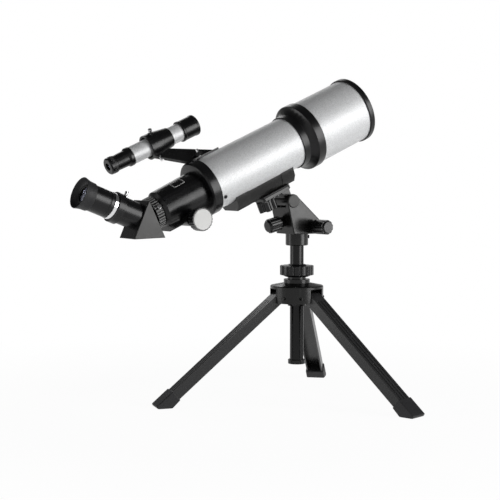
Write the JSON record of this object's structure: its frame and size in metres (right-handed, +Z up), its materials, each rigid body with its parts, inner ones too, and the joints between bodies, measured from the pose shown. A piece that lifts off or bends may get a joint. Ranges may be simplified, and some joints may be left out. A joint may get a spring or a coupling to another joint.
{
  "type": "telescope on tripod",
  "caption": "Small refracting telescope with dew shield, rack focuser, star diagonal, eyepiece and finder, on a pan and tilt head over a folding tabletop tripod.",
  "frame": {"origin": "on the floor under the middle of the bounding box, with the feet's soles at z = 0", "axes": "+Z up, +X along the telescope's heading towards its dew shield, +Y to the left of an observer at the eyepiece"},
  "size_m": [0.4996, 0.3574, 0.4484],
  "materials": {
    "silver_tube": "fine metallic, semi-gloss",
    "black_paint": "semi-gloss",
    "black_metal": "black anodised, satin",
    "black_plastic": "fine moulded texture, satin",
    "grip_plastic": "fluted, satin",
    "grey_plastic": "satin",
    "rubber": "matte",
    "chrome": "polished",
    "steel": "turned",
    "white_cap": "gloss",
    "lens_glass": "polished and coated",
    "mirror": "polished"
  },
  "bodies": {
    "tripod_hub": {"hub": "black_plastic", "leg_pivot_pins": "black_paint"},
    "leg_1": {"leg_1": "black_plastic", "leg_1_rubber_foot": "rubber"},
    "leg_2": {"leg_2": "black_plastic", "leg_2_rubber_foot": "rubber"},
    "leg_3": {"leg_3": "black_plastic", "leg_3_rubber_foot": "rubber"},
    "lock_nut": {"column_lock_nut": "grip_plastic"},
    "column": {"centre_column": "black_paint", "column_end_cap": "black_plastic", "head_collar": "black_plastic", "collar_set_screw": "chrome"},
    "pan_head": {"head_housing": "black_plastic", "tilt_pivot_pin": "black_paint", "pivot_caps": "grey_plastic"},
    "pan_lock": {"pan_lock_knob": "grip_plastic"},
    "tilt_lock": {"tilt_lock_knob": "grip_plastic"},
    "telescope": {"camera_plate": "black_metal", "camera_plate_pad": "rubber", "tube_cradle": "black_plastic", "main_tube": "silver_tube", "objective_cell": "black_metal", "flint_lens": "lens_glass", "crown_lens": "lens_glass", "lens_retaining_ring": "black_plastic", "dew_shield": "silver_tube", "dew_shield_rim": "black_metal", "rear_collar": "black_plastic", "tube_screws": "steel", "focuser_housing": "black_plastic", "finder_tube": "silver_tube", "finder_front_cap": "black_plastic", "finder_objective": "lens_glass", "finder_rear_body": "black_plastic", "finder_bracket": "black_plastic", "finder_bracket_studs": "chrome", "finder_bracket_nuts": "grip_plastic"},
    "camera_screw": {"camera_screw_knob": "grip_plastic"},
    "tension_screw": {"drawtube_tension_screw": "chrome"},
    "focus_shaft": {"focus_pinion_shaft": "steel", "focus_knobs": "grip_plastic", "focus_knob_caps": "white_cap"},
    "drawtube": {"drawtube": "black_metal", "drawtube_rack": "black_plastic"},
    "drawtube_screw": {"drawtube_end_screw": "chrome"},
    "diagonal": {"diagonal_body": "black_plastic", "diagonal_side_plates": "grey_plastic", "diagonal_mirror": "mirror"},
    "thumb_screw": {"diagonal_thumb_screw": "chrome"},
    "eyepiece": {"eyepiece_barrel": "chrome", "eyepiece_body": "grip_plastic", "eyepiece_eye_lens": "lens_glass", "eyepiece_field_lens": "lens_glass", "eye_cup": "rubber"},
    "finder_eyepiece": {"finder_eyepiece": "grip_plastic", "finder_eye_lens": "lens_glass"},
    "finder_screw_1": {"finder_adjusting_screw_1": "chrome"},
    "finder_screw_2": {"finder_adjusting_screw_2": "chrome"},
    "finder_screw_3": {"finder_adjusting_screw_3": "chrome"}
  },
  "joints": [
    {"name": "leg_1_fold", "type": "hinge", "parent": "tripod_hub", "child": "leg_1", "pos_m": [0.11529, 0.043, 0.1445], "axis": [-0.7108, 0.7034, 0], "range_deg": [0, 48]},
    {"name": "leg_2_fold", "type": "hinge", "parent": "tripod_hub", "child": "leg_2", "pos_m": [0.06852, 0.0302, 0.1445], "axis": [-0.2538, -0.9673, 0], "range_deg": [0, 48]},
    {"name": "leg_3_fold", "type": "hinge", "parent": "tripod_hub", "child": "leg_3", "pos_m": [0.10299, -0.00391, 0.1445], "axis": [0.9646, 0.2639, 0], "range_deg": [0, 48]},
    {"name": "lock_nut_turn", "type": "hinge", "parent": "tripod_hub", "child": "lock_nut", "pos_m": [0.0956, 0.0231, 0.1724], "axis": [0, 0, 1], "range_deg": [0, 180]},
    {"name": "column_slide", "type": "slide", "parent": "tripod_hub", "child": "column", "axis": [0, 0, 1], "range_m": [-0.026, 0.075]},
    {"name": "pan", "type": "hinge", "parent": "column", "child": "pan_head", "pos_m": [0.0956, 0.0231, 0.232], "axis": [0, 0, 1], "continuous": true},
    {"name": "pan_lock_turn", "type": "hinge", "parent": "pan_head", "child": "pan_lock", "pos_m": [0.0956, 0.0231, 0.2547], "axis": [-0.9715, 0, -0.2368], "range_deg": [0, 270]},
    {"name": "tilt_lock_turn", "type": "hinge", "parent": "pan_head", "child": "tilt_lock", "pos_m": [0.1086, 0.0231, 0.2425], "axis": [0, -1, 0], "range_deg": [0, 270]},
    {"name": "tilt", "type": "hinge", "parent": "pan_head", "child": "telescope", "pos_m": [0.0746, 0.0231, 0.278], "axis": [0, -1, 0], "range_deg": [-63, 12]},
    {"name": "camera_screw_turn", "type": "hinge", "parent": "telescope", "child": "camera_screw", "pos_m": [0.03936, 0.0231, 0.28644], "axis": [0.3987, 0, -0.9171], "range_deg": [0, 270]},
    {"name": "tension_screw_turn", "type": "hinge", "parent": "telescope", "child": "tension_screw", "pos_m": [-0.12037, 0.0231, 0.27009], "axis": [-0.2344, -0.809, 0.539], "range_deg": [0, 270]},
    {"name": "drawtube_slide", "type": "slide", "parent": "telescope", "child": "drawtube", "axis": [-0.9171, 0, -0.3987], "range_m": [-0.001, 0.05]},
    {"name": "focus_turn", "type": "hinge", "parent": "telescope", "child": "focus_shaft", "pos_m": [-0.08829, 0.0231, 0.25776], "axis": [0, -1, 0], "range_deg": [-12, 574]},
    {"name": "drawtube_screw_turn", "type": "hinge", "parent": "drawtube", "child": "drawtube_screw", "pos_m": [-0.13091, 0.0231, 0.26551], "axis": [-0.1622, -0.9135, 0.373], "range_deg": [0, 270]},
    {"name": "diagonal_turn", "type": "hinge", "parent": "drawtube", "child": "diagonal", "pos_m": [-0.14834, 0.0231, 0.25793], "axis": [-0.9171, 0, -0.3987], "continuous": true},
    {"name": "thumb_screw_turn", "type": "hinge", "parent": "diagonal", "child": "thumb_screw", "pos_m": [-0.17764, 0.0231, 0.26947], "axis": [0.3665, 0, 0.9304], "range_deg": [0, 270]},
    {"name": "eyepiece_slide", "type": "slide", "parent": "diagonal", "child": "eyepiece", "axis": [-0.9304, 0, 0.3665], "range_m": [0, 0.022]},
    {"name": "finder_focus", "type": "slide", "parent": "telescope", "child": "finder_eyepiece", "axis": [-0.9171, 0, -0.3987], "range_m": [0, 0.004]},
    {"name": "finder_screw_1_turn", "type": "hinge", "parent": "telescope", "child": "finder_screw_1", "pos_m": [-0.10888, 0.06761, 0.35276], "axis": [0.0278, 0.9976, -0.064], "range_deg": [-180, 180]},
    {"name": "finder_screw_2_turn", "type": "hinge", "parent": "telescope", "child": "finder_screw_2", "pos_m": [-0.10888, 0.06761, 0.35276], "axis": [-0.3584, -0.4384, 0.8242], "range_deg": [-180, 180]},
    {"name": "finder_screw_3_turn", "type": "hinge", "parent": "telescope", "child": "finder_screw_3", "pos_m": [-0.10888, 0.06761, 0.35276], "axis": [0.3306, -0.5592, -0.7603], "range_deg": [-180, 180]}
  ],
  "couplings": [
    {"joint": "focus_turn", "follows": "drawtube_slide", "rad_per_m": 200}
  ]
}
